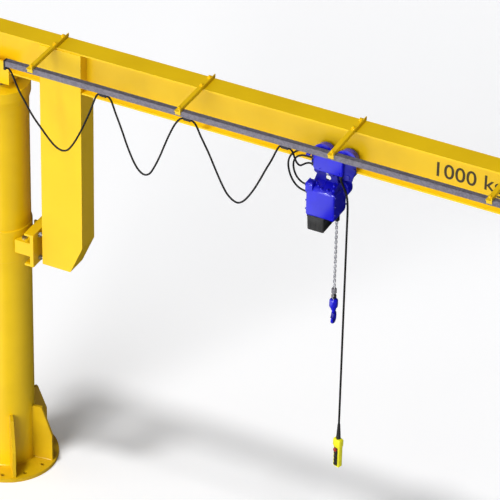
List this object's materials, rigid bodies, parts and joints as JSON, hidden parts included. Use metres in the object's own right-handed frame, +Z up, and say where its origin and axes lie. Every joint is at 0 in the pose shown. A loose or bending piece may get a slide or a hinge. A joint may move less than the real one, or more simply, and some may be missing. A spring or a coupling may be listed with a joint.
{
  "type": "jib crane",
  "caption": "Pillar jib crane: column on a bolted base plate, slewing beam with downleg and rollers, motor trolley with chain hoist, festoon and pendant.",
  "frame": {"origin": "centre of the base plate's underside, on the column's axis", "axes": "+X along the jib towards its tip, +Y to the beam's far side (the festoon rail is at -Y), +Z up the column"},
  "size_m": [4.3399, 0.709, 3.309],
  "materials": {
    "yellow_paint": "satin",
    "blue_paint": "satin",
    "steel": "satin",
    "galvanised": "matte",
    "black_plastic": "matte",
    "cable_rubber": "matte",
    "yellow_plastic": "satin"
  },
  "bodies": {
    "pillar": {"base_plate": "yellow_paint", "gussets": "yellow_paint", "column": "yellow_paint", "track_ring": "yellow_paint", "head_cap": "yellow_paint", "spindle": "steel"},
    "jib": {"beam": "yellow_paint", "beam_end_plates": "yellow_paint", "end_stops": "yellow_paint", "pivot_housing": "yellow_paint", "downleg": "yellow_paint", "carriage_plate": "yellow_paint", "roller_forks": "yellow_paint", "roller_pins": "steel", "carriage_studs": "steel", "rail_brackets": "yellow_paint", "festoon_rail": "galvanised", "rail_clamp": "black_plastic", "festoon_loop_1": "cable_rubber"},
    "near_roller": {"roller_near": "steel"},
    "far_roller": {"roller_far": "steel"},
    "first_carrier": {"carrier_1": "black_plastic", "festoon_loop_2": "cable_rubber"},
    "second_carrier": {"carrier_2": "black_plastic", "festoon_loop_3": "cable_rubber"},
    "towed_carrier": {"tow_carrier": "black_plastic"},
    "trolley": {"trolley_sides": "blue_paint", "wheel_axles": "steel", "drive_cover": "blue_paint", "travel_motor": "blue_paint", "hanger_rods": "steel", "hanger_yoke": "blue_paint", "suspension_pin": "steel", "tow_arm": "blue_paint", "cable_glands": "black_plastic", "tow_cable": "cable_rubber", "inner_cable": "cable_rubber", "outer_cable": "cable_rubber", "hoist_casing": "blue_paint", "hoist_motor": "blue_paint", "chain_guide": "black_plastic", "chain_bucket": "black_plastic", "load_chain": "steel", "pendant_cable": "cable_rubber", "pendant_relief": "black_plastic", "pendant_case": "yellow_plastic", "pendant_buttons": "black_plastic"},
    "near_left_wheel": {"wheel_near_left": "blue_paint"},
    "near_right_wheel": {"wheel_near_right": "blue_paint"},
    "far_left_wheel": {"wheel_far_left": "blue_paint"},
    "far_right_wheel": {"wheel_far_right": "blue_paint"},
    "block": {"hook_block": "blue_paint"},
    "load_hook": {"hook": "blue_paint"}
  },
  "joints": [
    {"name": "slew", "type": "hinge", "parent": "pillar", "child": "jib", "pos_m": [0, 0, 2.96], "axis": [0, 0, 1], "range_deg": [-135, 135]},
    {"name": "near_roller_turn", "type": "hinge", "parent": "jib", "child": "near_roller", "pos_m": [0.2026, -0.086, 1.776], "axis": [0, 0, 1], "continuous": true},
    {"name": "far_roller_turn", "type": "hinge", "parent": "jib", "child": "far_roller", "pos_m": [0.2026, 0.086, 1.776], "axis": [0, 0, 1], "continuous": true},
    {"name": "first_carrier_travel", "type": "slide", "parent": "jib", "child": "first_carrier", "axis": [1, 0, 0], "range_m": [-0.45, 0.47], "deforming": ["festoon_loop_1"]},
    {"name": "second_carrier_travel", "type": "slide", "parent": "first_carrier", "child": "second_carrier", "axis": [1, 0, 0], "range_m": [-0.45, 0.47], "deforming": ["festoon_loop_2"]},
    {"name": "towed_carrier_travel", "type": "slide", "parent": "second_carrier", "child": "towed_carrier", "axis": [1, 0, 0], "range_m": [-0.45, 0.47], "deforming": ["festoon_loop_3"]},
    {"name": "trolley_travel", "type": "slide", "parent": "jib", "child": "trolley", "axis": [1, 0, 0], "range_m": [-1.32, 1.38]},
    {"name": "near_left_wheel_turn", "type": "hinge", "parent": "trolley", "child": "near_left_wheel", "pos_m": [2.243, -0.049, 3.0693], "axis": [0, 1, 0], "continuous": true},
    {"name": "near_right_wheel_turn", "type": "hinge", "parent": "trolley", "child": "near_right_wheel", "pos_m": [2.395, -0.049, 3.0693], "axis": [0, 1, 0], "continuous": true},
    {"name": "far_left_wheel_turn", "type": "hinge", "parent": "trolley", "child": "far_left_wheel", "pos_m": [2.243, 0.049, 3.0693], "axis": [0, 1, 0], "continuous": true},
    {"name": "far_right_wheel_turn", "type": "hinge", "parent": "trolley", "child": "far_right_wheel", "pos_m": [2.395, 0.049, 3.0693], "axis": [0, 1, 0], "continuous": true},
    {"name": "hook_lift", "type": "slide", "parent": "trolley", "child": "block", "axis": [0, 0, 1], "range_m": [-1.75, 0.46], "deforming": ["load_chain"]},
    {"name": "hook_swivel", "type": "hinge", "parent": "block", "child": "load_hook", "pos_m": [2.313, 0, 1.94], "axis": [0, 0, 1], "continuous": true}
  ],
  "couplings": [
    {"joint": "near_roller_turn", "follows": "slew", "ratio": 5.4647},
    {"joint": "far_roller_turn", "follows": "slew", "ratio": 5.4647},
    {"joint": "first_carrier_travel", "follows": "trolley_travel", "ratio": 0.33333},
    {"joint": "second_carrier_travel", "follows": "trolley_travel", "ratio": 0.33333},
    {"joint": "towed_carrier_travel", "follows": "trolley_travel", "ratio": 0.33333},
    {"joint": "near_left_wheel_turn", "follows": "trolley_travel", "rad_per_m": 17.241},
    {"joint": "near_right_wheel_turn", "follows": "trolley_travel", "rad_per_m": 17.241},
    {"joint": "far_left_wheel_turn", "follows": "trolley_travel", "rad_per_m": 17.241},
    {"joint": "far_right_wheel_turn", "follows": "trolley_travel", "rad_per_m": 17.241}
  ]
}
